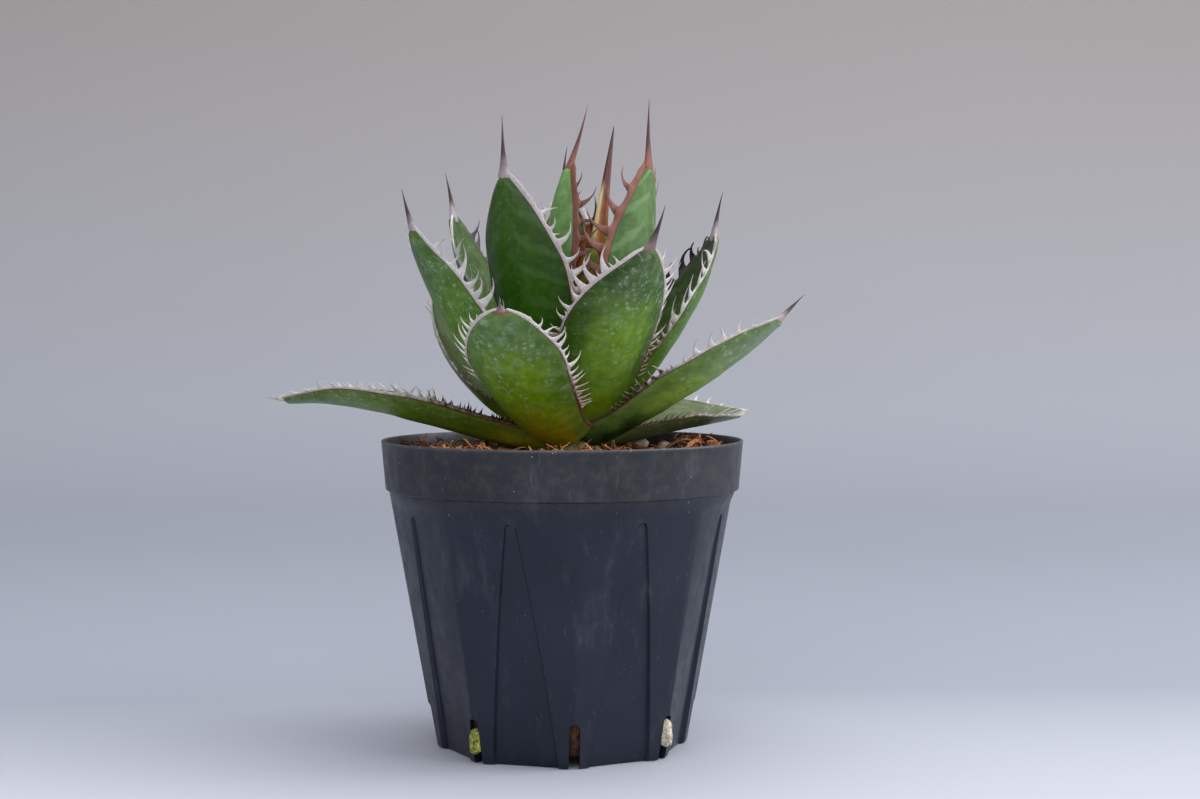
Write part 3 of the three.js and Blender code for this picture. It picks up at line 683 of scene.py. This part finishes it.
def horn_material(name, band_low, band_high, teeth_low, teeth_high, point, spine_foot, spine_point):
    paint = Paint(name)
    along, outward, kind, dark = paint.tone()
    patchy = paint.noise(2.5, 5, 0.65)
    climb = paint.fade(paint.wander(along, patchy, 0.25, 0.75, 0.14), 0.34, 0.66)
    band = paint.mix(climb, band_low, band_high)
    teeth = paint.mix(climb, teeth_low, teeth_high)
    teeth = paint.mix(paint.fade(outward, 0.35, 1.0, 0, 0.8), teeth, point)
    reach = paint.fade(paint.wander(outward, patchy, 0.3, 0.7, 0.05), 0.03, 0.42)
    spine = paint.mix(reach, spine_foot, spine_point)
    colour = paint.mix(paint.fade(kind, 0.15, 0.4), band, teeth)
    colour = paint.mix(paint.times(dark, paint.fade(outward, 0.0, 0.2, 0.85, 1)), colour, DARK_HORN)
    colour = paint.mix(paint.fade(kind, 0.7, 0.9), colour, spine)
    colour = paint.scale(colour, paint.fade(paint.noise(1.2, 4, 0.7), 0.3, 0.7, 0.82, 1.1))
    paint.bump(paint.noise(0.7, 4), 0.12, 0.5)
    return paint.finish(colour, paint.fade(patchy, 0.3, 0.7, 0.42, 0.62), 0.35)


blade_paints = {name: blade_material(f"blade_{name}", *look) for name, look in BLADES.items()}
horn_paints = {name: horn_material(f"horn_{name}", *look) for name, look in HORNS.items()}


def add_leaf(name, table, seed, slot, node):
    finish = table["finish"]
    piece = leaf_form(table, seed).build(name, [blade_paints[finish], horn_paints[finish]])
    place_piece(piece, slot, node)


for i, table in enumerate(LEAVES):
    add_leaf(f"toothed_leaf_{i + 1:02d}", table, i + 1, "leaf", f"leaf_{i + 1:02d}")
for i, table in enumerate(YOUNG_LEAVES):
    add_leaf(f"inner_leaf_{i + 1}", table, i + 31, "young_leaf", f"young_leaf_{i + 1}")


# ---------- bud and stem

def bud_material():
    paint = Paint("furled_bud")
    height, turn, _, _ = paint.tone()
    patchy = paint.noise(3, 4)
    wander = paint.wander(height, patchy, 0.3, 0.7, 0.04)
    colour = paint.ramp(wander, (0.0, (0.16, 0.19, 0.01)), (0.3, (0.36, 0.24, 0.01)),
                        (0.55, (0.42, 0.12, 0.02)), (0.78, (0.14, 0.035, 0.03)), (1.0, (0.045, 0.018, 0.018)))
    round_it = paint.times(paint.fade(turn, 0.5, 0.57), paint.fade(turn, 0.74, 0.66))
    up_it = paint.times(paint.fade(height, 0.5, 0.6), paint.fade(height, 0.8, 0.72))
    yellow = paint.times(round_it, up_it)
    colour = paint.mix(yellow, colour, (0.86, 0.72, 0.36))
    green = paint.times(paint.fade(turn, 0.84, 0.9), paint.fade(height, 0.66, 0.55))
    colour = paint.mix(green, colour, (0.16, 0.26, 0.05))
    paint.bump(paint.noise(0.8, 3), 0.1, 0.4)
    return paint.finish(colour, paint.fade(patchy, 0.3, 0.7, 0.35, 0.5), 0.5)


# The furled bud's heights and radii, and its tip, as in the model.
BUD = [(121.3, 4.6), (130, 5), (145, 4.4), (160, 3.4), (174, 2.4), (186, 1.5), (196, 0.85), (205.6, 0.12)]
BUD_TIP = Vector((17.1, -1, BUD[-1][0]))


def add_bud():
    """The furled bud, with the free edge of its outer leaf wound round it."""
    foot = Vector((STEM["x"] + STEM["lean"], 0, STEM["top"]))
    form = Form()
    rings, tones = [], []
    steps, count = 90, 40
    for i in range(steps + 1):
        z = mix(BUD[0][0], BUD[-1][0], i / steps)
        k = max(k for k in range(len(BUD) - 1) if BUD[k][0] <= z + 1e-6)
        (z0, r0), (z1, r1) = BUD[k], BUD[k + 1]
        radius = mix(r0, r1, (z - z0) / (z1 - z0))
        lean = max(0, (z - foot.z) / (BUD_TIP.z - foot.z)) ** 1.3
        centre = Vector((mix(foot.x, BUD_TIP.x, lean), mix(foot.y, BUD_TIP.y, lean), z))
        twist = 0.9 * i / steps
        ring, ring_tones = [], []
        for j in range(count):
            turn = j / count
            fold = 1 + 0.13 * ((turn + twist) % 1) - 0.06 + 0.03 * ripple(turn * 8, z * 0.1, 5)
            angle = TAU * turn
            ring.append(centre + Vector((cos(angle), sin(angle), 0)) * radius * fold)
            ring_tones.append((i / steps, turn, 0))
        rings.append(ring)
        tones.append(ring_tones)
    form.loft(rings, 0, tones)
    place_piece(form.build("furled_bud", [bud_material()]), "bud", "bud")


def stem_material():
    paint = Paint("stem_skin")
    patchy = paint.noise(4, 5)
    colour = paint.ramp(patchy, (0.3, (0.14, 0.1, 0.04)), (0.55, (0.3, 0.3, 0.12)),
                        (0.75, (0.42, 0.42, 0.22)))
    paint.bump(paint.noise(2, 4), 0.4, 0.6)
    return paint.finish(colour, 0.7)


def add_stem():
    form = Form()
    rings = []
    steps, count = 60, 40
    for i in range(steps + 1):
        z = mix(STEM["foot"], STEM["top"], i / steps)
        lean = max(0, STEM["lean"] * (z - MOUND_HEIGHT) / (STEM["top"] - MOUND_HEIGHT))
        belly = mix(0.35, 1, smooth((z - STEM["foot"]) / 25)) * mix(1, 0.55, smooth((z - 108) / 13))
        ring = []
        for j, (x, y) in enumerate(ring_points(count)):
            scar = 1 + 0.03 * sin(z * 1.6 + 2 * j * TAU / count) + 0.03 * ripple(x * 2, y * 2, z * 0.2)
            radius = STEM["radius"] * belly * scar
            ring.append(Vector((STEM["x"] + lean + radius * x, radius * y, z)))
        rings.append(ring)
    form.loft(rings)
    place_piece(form.build("short_stem", [stem_material()]), "stem", "stem")


add_bud()
add_stem()


# ---------- pot

POT = {"height": 102, "rim": 60, "band": 58.6, "band_foot": 85.8, "neck": 57.5, "foot": 42.2, "wall": 1.1,
       "floor": 1.3, "ridge": -84, "sides": 8}
SIDE = 360 / POT["sides"]
RIDGE = SIDE / 2
POT_CREASE = 28
PANEL = {"top": 78.5, "apex": 1.25, "foot_angle": 15.2, "depth_top": 0.8, "depth_foot": 1.5, "edge": 0.4}
SLIT = {"width": 3.5, "top": 14.8, "inner": 29}
UNDER = {"pad": 10, "rise": 2.4, "ramp": 2.5, "ring": 3.2}


def pot_radius(z, from_side, sunk):
    """The outside radius, from_side degrees away from a side's middle; sunk is the panel's share there."""
    if z > POT["band_foot"]:
        return mix(POT["band"], POT["rim"], (z - POT["band_foot"]) / (POT["height"] - POT["band_foot"]))
    up = max(0, z) / POT["band_foot"]
    corner = mix(POT["foot"], POT["neck"], up)
    flat = corner * cos(radians(RIDGE)) / cos(radians(from_side))
    squared = mix(0.95, 0.4, up) * (1 - smooth((z - 80) / 5.5))
    # A corner of the octagon is a soft ridge.
    squared *= 1 - 0.25 * exp(-(((abs(from_side) - RIDGE) / 1.6) ** 2))
    depth = mix(PANEL["depth_foot"], PANEL["depth_top"], z / PANEL["top"]) if z < PANEL["top"] else 0
    return mix(corner, flat, squared) - sunk * depth


def panel_half(z):
    apex = degrees(PANEL["apex"] / POT["neck"])
    half = mix(PANEL["foot_angle"], apex, min(1, max(0, z / PANEL["top"])))
    arch = (z - (PANEL["top"] - PANEL["apex"])) / PANEL["apex"]
    if arch > 0:
        half = apex * sqrt(max(0.01, 1 - arch * arch))
    return half


def pot_ring(z, shape_z, inset, scale=1.0):
    """One fine ring of the pot, with most points on the edges of the sunk panels."""
    half = panel_half(shape_z)
    edge = degrees(PANEL["edge"] / POT["foot"])
    outer = [(mix(-RIDGE, -half - edge, i / 9), 0) for i in range(9)]
    step = [(mix(-half - edge, -half, i / 4), smooth(i / 4)) for i in range(4)]
    floor = [(mix(-half, 0, i / 6), 1) for i in range(6)]
    left = outer + step + floor
    ring = []
    for side in range(POT["sides"]):
        middle = POT["ridge"] + SIDE * (side + 0.5)
        right = [(-a, sunk) for a, sunk in reversed(left[1:])]
        for from_side, sunk in left + [(0, 1)] + right:
            radius = (pot_radius(shape_z, from_side, sunk) - inset) * scale
            angle = radians(middle + from_side)
            ring.append(Vector((radius * cos(angle), radius * sin(angle), z)))
    return ring


def round_ring(z, radius):
    up = Vector((0, 0, z))
    return [Vector((p.x, p.y, 0)).normalized() * radius + up for p in pot_ring(z, POT["height"], 0)]


def pot_rings():
    """The pot's outline from the underside's middle up the outside, over the lip and down inside."""
    height, wall, foot, top = POT["height"], POT["wall"], POT["band_foot"], PANEL["top"]
    rise, pad, base = UNDER["rise"], UNDER["pad"], POT["foot"]
    ring_inner = base - UNDER["ring"]
    floor = rise + POT["floor"]
    rings = [round_ring(0, 2), round_ring(0, pad), round_ring(rise, pad + UNDER["ramp"])]
    rings.append(pot_ring(rise, 0, 0, (ring_inner - UNDER["ramp"]) / base))
    rings.append(pot_ring(0.15, 0, 0, (ring_inner - 0.2) / base))
    rings += [pot_ring(0, 0, 0, ring_inner / base), pot_ring(0, 0, 0.9), pot_ring(0.25, 0.25, 0.3)]
    side = (0.9, 4, 9, 14, 20, 27, 34, 42, 50, 58, 66, 72, 76)
    arch = [top + up for up in (-1.25, -0.9, -0.5, -0.2, -0.02, 0.05)]
    rings += [pot_ring(z, z, 0) for z in (*side, *arch, 80, 81.5, 83)]
    step = [(-0.9, -0.9, 0), (-0.3, -0.3, 0.12), (-0.05, 0.01, 0.75), (0, 0.01, 0.2), (0.3, 0.3, 0)]
    rings += [pot_ring(foot + up, foot + shape_up, inset) for up, shape_up, inset in step]
    rings += [pot_ring(z, z, 0) for z in (90, 95, 99, height - 0.9)]
    lip = [(-0.45, -0.06), (-0.15, 0.05), (0, 0.3), (0, wall - 0.3), (-0.15, wall - 0.08), (-0.45, wall)]
    rings += [pot_ring(height + up, height, inset) for up, inset in lip]
    inner = (99, 93, foot + 1, foot - 0.3, 82, top, top - 1, 70, 50, 30, 12, floor)
    rings += [pot_ring(z, z, wall) for z in inner]
    return rings + [round_ring(floor, 20), round_ring(floor, 4)]


def slit_cutter(form, azimuth):
    half = SLIT["width"] / 2
    outline = [(-half, -3), (half, -3)]
    for i in range(9):
        angle = pi * i / 8
        outline.append((half * cos(angle), SLIT["top"] - half + half * sin(angle)))
    turn = Matrix.Rotation(radians(azimuth), 3, "Z")
    form.loft([[turn @ Vector((x, y, z)) for y, z in outline] for x in (SLIT["inner"], POT["foot"] + 8)])


def pot_material():
    paint = Paint("charcoal_plastic")
    height = paint.node("SeparateXYZ", {0: paint.place}).outputs[2]
    cloud = paint.noise(28, 4)
    colour = paint.mix(paint.fade(cloud, 0.3, 0.7), (0.004, 0.006, 0.014), (0.008, 0.011, 0.021))
    # Dust on the band, dry water marks and fine specks.
    colour = paint.mix(paint.fade(height, 0.079, 0.09, 0, 0.75), colour, (0.015, 0.0145, 0.015))
    marks = paint.fade(paint.noise(9, 7, 0.72, (1, 1, 0.35)), 0.52, 0.72)
    colour = paint.coat(colour, (0.13, 0.14, 0.16), marks, 0.16)
    film = paint.times(paint.fade(paint.noise(5, 7, 0.72), 0.42, 0.7), paint.fade(height, 0.079, 0.09))
    colour = paint.coat(colour, (0.055, 0.054, 0.054), film, 0.45)
    scratch = paint.fade(paint.noise(1.1, 3, 0.6, (1, 1, 0.03)), 0.66, 0.76)
    colour = paint.coat(colour, (0.2, 0.21, 0.23), scratch, 0.14)
    specks = paint.fade(paint.cells(3.1), 0.085, 0.04)
    keep = paint.times(specks, paint.fade(paint.noise(9, 2), 0.5, 0.6))
    keep = paint.times(keep, paint.fade(height, 0.07, 0.095, 0.25, 0.8))
    colour = paint.mix(keep, colour, (0.42, 0.4, 0.38))
    # Lighter all along the top of the lip, and more so in patches.
    lip_line_and_scuffs = paint.fade(paint.noise(2.2, 5, 0.7), 0.55, 0.72, 0.25, 1)
    lip_line_and_scuffs = paint.times(lip_line_and_scuffs, paint.fade(height, 0.1008, 0.1018))
    colour = paint.coat(colour, (0.26, 0.25, 0.25), lip_line_and_scuffs, 0.6)
    rough = paint.fade(paint.noise(6, 6, 0.65), 0.3, 0.75, 0.32, 0.48)
    paint.bump(paint.noise(0.6, 2), 0.03, 0.35)
    paint.bump(paint.noise(22, 3), 0.6, 0.22)
    paint.bump(scratch, 0.03, 0.3)
    return paint.finish(colour, rough, 0.4, (0.84, 0.9, 1.0))


def add_pot():
    form = Form()
    form.loft(pot_rings())
    pot = form.build("slit_pot", [pot_material()])
    cutter_form = Form()
    for side in range(POT["sides"]):
        slit_cutter(cutter_form, POT["ridge"] + SIDE * side)
    cutter = cutter_form.build("slit_cutter", [])
    cut = pot.modifiers.new("slits", "BOOLEAN")
    cut.operation = "DIFFERENCE"
    cut.solver = "EXACT"
    cut.object = cutter
    bpy.context.view_layer.update()
    ready = bpy.data.meshes.new_from_object(pot.evaluated_get(bpy.context.evaluated_depsgraph_get()))
    pot.modifiers.clear()
    pot.data = ready
    bpy.data.objects.remove(cutter)
    ready.shade_smooth()
    ready.set_sharp_from_angle(angle=radians(POT_CREASE))
    place_piece(pot, "pot", "pot")


add_pot()


# ---------- soil and top dressing

SOIL_EDGE = {"height": 95.2, "radius": 54}
MOUND_RADIUS = 22


def soil_height(radius):
    slope = (radius - MOUND_RADIUS) / (SOIL_EDGE["radius"] - MOUND_RADIUS)
    return mix(MOUND_HEIGHT, SOIL_EDGE["height"], min(1, max(0, slope)))


def crumb_material():
    paint = Paint("husk_crumbs_gap_shade")
    # The husk's own dark brown, made darker still as painted shade for the gaps between the chips and tufts.
    colour = paint.ramp(paint.own(2.2), (0.0, (0.008, 0.004, 0.003)), (0.5, (0.04, 0.015, 0.008)),
                        (1.0, (0.15, 0.06, 0.025)))
    colour = paint.mix(paint.fade(paint.noise(1.2, 5, 0.7), 0.35, 0.7, 0, 0.7), colour, (0.03, 0.013, 0.008))
    paint.bump(paint.noise(1.3, 5, 0.7), 1.0, 0.9)
    paint.bump(paint.cells(2.2), 0.8, 0.6)
    return paint.finish(colour, 0.9, 0.25)


def chip_material(name, dark, middle, light):
    paint = Paint(name)
    own, _, _, _ = paint.tone()
    colour = paint.ramp(own, (0.0, dark), (0.5, middle), (1.0, light))
    colour = paint.scale(colour, paint.fade(paint.noise(0.9, 5, 0.7, (1, 0.25, 1)), 0.3, 0.7, 0.65, 1.25))
    paint.bump(paint.noise(0.6, 4, 0.7, (1, 0.3, 1)), 0.35, 0.8)
    return paint.finish(colour, 0.85, 0.3)


def add_soil_body(form):
    """The body of the soil inside the pot, crumbly on top and where the slits show it."""
    clear = POT["wall"] + 0.35
    bottom = UNDER["rise"] + POT["floor"] + 0.3
    top = (57.2, 56, 54.5, 53, 51, 49, 47, 45, 43, 41, 38, 35, 32, 29, 26, 22, 18, 13, 8, 3)
    rings = [pot_ring(bottom, bottom, clear, scale) for scale in (0.1, 0.5, 0.8, 1)]
    rings += [pot_ring(z, z, clear) for z in (6, 8, 10, 12, 14, 17, 30, 50, 70, 77, 80, 86, 92)]
    rings += [round_ring(soil_height(radius), radius) for radius in top]
    for ring in rings:
        for p in ring:
            bumps = ripple(p.x * 0.35, p.y * 0.35, p.z * 0.35) + 0.6 * ripple(p.x * 0.8, p.y * 0.8, p.z * 0.8)
            if p.z > 93:
                p.z += 1.1 * bumps - 0.4
            elif p.z < 18:
                inward = Vector((p.x, p.y, 0)).normalized()
                p -= inward * 0.5 * (1 + bumps)
    form.loft(rings)


CHIPS, FIBRES = 1, 2


def add_chip(form, at, size, rng):
    """One split husk chip: a thin crooked slab."""
    count = 7
    turn = Matrix.Rotation(rng.uniform(0, TAU), 3, "Z") @ Matrix.Rotation(rng.uniform(-0.9, 0.9), 3, "X")
    turn = turn @ Matrix.Rotation(rng.uniform(-0.5, 0.5), 3, "Y")
    slim = rng.uniform(0.25, 0.6)
    thick = size * rng.uniform(0.12, 0.25)
    radii = [rng.uniform(0.7, 1.2) for _ in range(count)]
    tone = (rng.random(), rng.random(), 0)
    rings = []
    for level, scale in ((-0.5, 0.75), (-0.3, 1), (0.3, 0.95), (0.5, 0.7)):
        ring = []
        for j, (x, y) in enumerate(ring_points(count)):
            r = size / 2 * radii[j] * scale
            curl = 0.12 * size * x * x
            ring.append(at + turn @ Vector((r * x, r * slim * y, level * thick + curl)))
        rings.append(ring)
    form.loft(rings, CHIPS, [tone] * 4)


def add_fibre(form, at, heading, length, rise, radius, rng, slot=FIBRES, steps=12, tilt=None):
    """One thin fibre that arches over the soil."""
    tone = (rng.random(), 0, 0)
    sway, twist = rng.uniform(-0.25, 0.25) * length, rng.uniform(-1, 1)
    peak = rng.uniform(0.6, 1.8)
    if tilt is None:
        tilt = rng.choice((0, 0.6, 0.9, 1))
    ahead = Vector((cos(heading), sin(heading), 0))
    aside = Vector((-ahead.y, ahead.x, 0))
    line = []
    for i in range(steps + 1):
        t = i / steps
        arch = sin(pi * min(1, 1.08 * t ** peak))
        lift = rise * mix(arch, 1.2 * t, tilt) + 0.35 * ripple(t * 3, twist * 9, 1)
        level = at + ahead * (length * (t - 0.5)) + aside * (sway * sin(pi * t + twist))
        line.append(level + Vector((0, 0, lift)))
    rings = []
    for i, p in enumerate(line):
        along = (line[min(i + 1, steps)] - line[max(i - 1, 0)]).normalized()
        across = along.cross(Vector((0, 0, 1))).normalized()
        up = across.cross(along)
        r = radius * (1 - 0.55 * abs(2 * i / steps - 1) ** 3)
        rings.append(oval(p, across, up, r, r, 6))
    form.loft(rings, slot, [tone] * len(rings))


# Where husk fibres stand up in tufts: place, spread and how many.
TUFTS = [(-36, -37, 3, 34), (-26, -44, 3.5, 30), (-4, -50, 2.4, 36), (5, -51, 2.6, 38), (16, -50, 2, 40),
         (42, -33, 3, 28), (50, -18, 3, 26), (46, 14, 6, 30), (38, 28, 6, 24), (-48, 2, 4, 20),
         (-20, 42, 7, 24), (12, 44, 7, 24)]
FIBRE_LIMIT = 55.5
CHIP_COUNT = 760
FIBRE_COUNT = 260


def add_soil():
    rng = random.Random(41)
    form = Form()
    add_soil_body(form)
    for _ in range(CHIP_COUNT):
        radius = 57.0 * sqrt(rng.uniform(0.03, 1))
        angle = rng.uniform(0, TAU)
        size = rng.uniform(1.6, 5.2) if rng.random() < 0.8 else rng.uniform(5, 8)
        radius = min(radius, 58.0 - size * 0.55)
        lift = rng.uniform(-0.5, 1.3)
        at = Vector((radius * cos(angle), radius * sin(angle), soil_height(radius) + lift))
        add_chip(form, at, size, rng)
    for _ in range(FIBRE_COUNT):
        radius = 50 * sqrt(rng.uniform(0.05, 1))
        angle = rng.uniform(0, TAU)
        length = rng.uniform(4, 9)
        at = Vector((radius * cos(angle), radius * sin(angle), soil_height(radius) + 0.5))
        heading, rise = rng.uniform(0, TAU), rng.uniform(0.3, 2.2)
        add_fibre(form, at, heading, length, rise, rng.uniform(0.12, 0.24), rng)
    for x, y, spread, count in TUFTS:
        for _ in range(count):
            length = rng.uniform(2, 6.5)
            at = Vector((x + rng.gauss(0, spread), y + rng.gauss(0, 2), 0))
            at *= min(1, (FIBRE_LIMIT - length / 2) / at.length)
            at.z = soil_height(hypot(at.x, at.y)) + rng.uniform(0.5, 5.2)
            heading, rise = rng.uniform(0, TAU), rng.uniform(0.5, 4.0)
            add_fibre(form, at, heading, length, rise, rng.uniform(0.13, 0.3), rng)
            add_chip(form, at + Vector((0, 0, rng.uniform(-2.0, 0.6))), rng.uniform(1.5, 4.5), rng)
    husk = chip_material("husk_chips", (0.016, 0.007, 0.004), (0.11, 0.038, 0.015), (0.38, 0.14, 0.055))
    fibres = chip_material("husk_fibres", (0.06, 0.018, 0.008), (0.34, 0.115, 0.035), (0.6, 0.28, 0.11))
    soil = form.build("husk_bed", [crumb_material(), husk, fibres])
    place_piece(soil, "soil", "soil")


add_soil()


def stone_material(name, dark, light, pits):
    paint = Paint(name)
    colour = paint.mix(paint.fade(paint.noise(1.6, 5, 0.65), 0.3, 0.7), dark, light)
    holes = paint.fade(paint.cells(pits), 0.3, 0.1)
    colour = paint.coat(colour, (0.16, 0.12, 0.08), holes, 0.55)
    paint.bump(paint.cells(pits), 0.5, 0.9)
    paint.bump(paint.noise(0.5, 4), 0.25, 0.7)
    return paint.finish(colour, 0.9, 0.25)


def node_box(node):
    """The middle and half the size of a CAD node's box, in metres."""
    low, high = (Vector(corner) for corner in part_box(node))
    return (low + high) / 2, (high - low) / 2


def lump(name, node, slot, material, seed, rough_mm, block=None):
    """A fine irregular lump that fills its CAD node's box, or what a slit holds.

    block is then its azimuth, width, depth and height.
    """
    centre, half = node_box(node)
    turned = Matrix.Identity(3)
    if block:
        azimuth, width, depth, height = block
        half = Vector((depth / 2, width / 2, height / 2)) * MM
        turned = Matrix.Rotation(radians(azimuth), 3, "Z")
    work = bmesh.new()
    bmesh.ops.create_icosphere(work, subdivisions=5, radius=1)
    for vertex in work.verts:
        p = vertex.co.copy()
        if block:
            p = Vector([copysign(abs(v) ** 0.6, v) for v in p])
        dents = 0.05 * abs(ripple(p.x * 6, p.y * 6 + seed, p.z * 6))
        swell = 1 + 0.1 * ripple(p.x * 2 + seed, p.y * 2, p.z * 2) - dents
        fine = rough_mm * MM * ripple(p.x * 14, p.y * 14, p.z * 14 + seed)
        vertex.co = centre + turned @ Vector((half.x * p.x, half.y * p.y, half.z * p.z)) * swell + p * fine
    mesh = bpy.data.meshes.new(name)
    work.to_mesh(mesh)
    work.free()
    mesh.materials.append(material)
    mesh.shade_smooth()
    place_piece(add_object(name, mesh), slot, node)


pumice = stone_material("pale_pumice", (0.4, 0.33, 0.24), (0.72, 0.67, 0.56), 0.9)
for i in range(6):
    lump(f"pumice_stone_{i + 1}", f"pumice_{i + 1}", "pumice", pumice, 3.7 * i, 0.25)
lump("washed_pumice", "slit_pumice", "pumice", pumice, 51, 0.5, (POT["ridge"] + SIDE, 3.3, 3.6, 8.6))
moss_paint = stone_material("damp_moss", (0.13, 0.14, 0.02), (0.42, 0.42, 0.1), 0.8)
lump("washed_moss", "slit_moss", "moss", moss_paint, 63, 0.6, (POT["ridge"] - SIDE, 3.3, 3.6, 8.0))


# The heights and widths of a husk chip's rings, in millimetres and as shares of its size.
CHIP_RINGS = [(-0.9, 0.3), (-0.9, 0.85), (-0.55, 0.98), (0, 1), (0.5, 0.97), (0.9, 0.86), (0.95, 0.3)]


def add_bark_chips():
    material = chip_material("bark_chip", (0.1, 0.035, 0.015), (0.27, 0.1, 0.04), (0.4, 0.18, 0.08))
    chips = [(8, 35), (7.5, 100), (8.5, 50), (8, -30), (9, 15), (7, 70)]
    for i, (size, turn) in enumerate(chips):
        node = f"bark_{i + 1}"
        centre = node_box(node)[0] / MM
        rng = random.Random(70 + i)
        radii = [rng.uniform(0.82, 1.08) for _ in range(40)]
        radii = [(radii[j - 1] + 2 * radii[j] + radii[(j + 1) % 40]) / 4 for j in range(40)]
        turned = Matrix.Rotation(radians(turn), 3, "Z")
        form = Form()
        rings, tones = [], []
        for level, scale in CHIP_RINGS:
            ring = []
            for j, (x, y) in enumerate(ring_points(40)):
                r = size / 2 * radii[j] * scale
                wave = 0.25 * sin(3 * x + i) + 0.18 * ripple(x * 4, y * 4, i)
                ring.append(centre + turned @ Vector((r * x, 0.55 * r * y, level + wave * scale)))
            rings.append(ring)
            tones.append((0.25 + 0.5 * rng.random(), 0, 0))
        form.loft(rings, 0, tones)
        place_piece(form.build(f"husk_chip_{i + 1}", [material], 50), "bark", node)


def add_roots():
    material = chip_material("dry_root", (0.24, 0.12, 0.05), (0.42, 0.26, 0.13), (0.58, 0.42, 0.26))
    roots = [(15, 4.2, -10), (13, 3.4, 60), (14, 3, 170)]
    for i, (span, rise, turn) in enumerate(roots):
        node = f"root_{i + 1}"
        centre = node_box(node)[0] / MM
        at = Vector((centre.x, centre.y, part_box(node)[0][2] / MM + 0.45))
        form = Form()
        rng = random.Random(90 + i)
        add_fibre(form, at, radians(turn), span, rise, 0.42, rng, 0, 40, 0)
        at = at + Vector((0, 0.5, 0.1))
        add_fibre(form, at, radians(turn + 25), span * 0.6, rise * 0.6, 0.2, rng, 0, 30, 0)
        place_piece(form.build(f"dry_root_{i + 1}", [material]), "root", node)


add_bark_chips()
add_roots()
